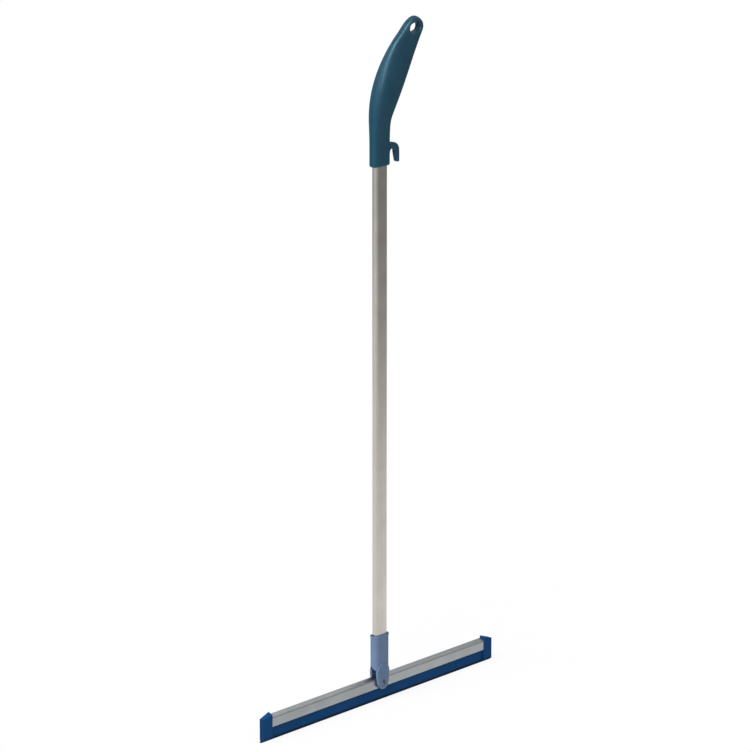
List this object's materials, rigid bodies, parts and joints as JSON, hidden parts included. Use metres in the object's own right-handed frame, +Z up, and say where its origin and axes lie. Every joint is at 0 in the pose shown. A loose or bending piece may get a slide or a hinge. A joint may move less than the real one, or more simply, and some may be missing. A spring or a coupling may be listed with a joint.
{
  "type": "floor squeegee",
  "caption": "Floor squeegee with a blue rubber blade in a slim aluminium profile, a tilting yoke, a flat-oval tube and a curved grip with a side hook and a hanging hole.",
  "frame": {"origin": "on the floor under the middle of the blade and the tube's axis", "axes": "+X along the blade, the way the grip leans; +Y to the back; +Z up along the tube"},
  "size_m": [0.55, 0.031, 1.1155],
  "materials": {
    "blue_rubber": "satin moulded rubber",
    "profile_metal": "satin anodised",
    "tube_metal": "satin anodised",
    "yoke_plastic": "fine moulded grain",
    "grip_plastic": "satin moulded",
    "plug_plastic": "plain moulded",
    "washer_plastic": "plain moulded",
    "brass": "turned",
    "steel": "plated"
  },
  "bodies": {
    "handle": {"yoke": "yoke_plastic", "pivot_screw": "steel", "nut_washer": "steel", "pivot_nut": "steel", "lower_plug": "plug_plastic", "socket_screw": "steel", "handle_tube": "tube_metal", "upper_plug": "plug_plastic", "grip_front_shell": "grip_plastic", "grip_back_shell": "grip_plastic", "grip_screw_low": "steel", "grip_screw_mid": "steel", "grip_screw_top": "steel"},
    "head": {"rubber_blade": "blue_rubber", "blade_profile": "profile_metal", "pivot_bush": "brass", "front_friction_washer": "washer_plastic", "back_friction_washer": "washer_plastic"}
  },
  "joints": [
    {"name": "head_tilt", "type": "hinge", "parent": "handle", "child": "head", "pos_m": [0, 0, 0.0302], "axis": [0, 1, 0], "range_deg": [-38, 38]}
  ]
}
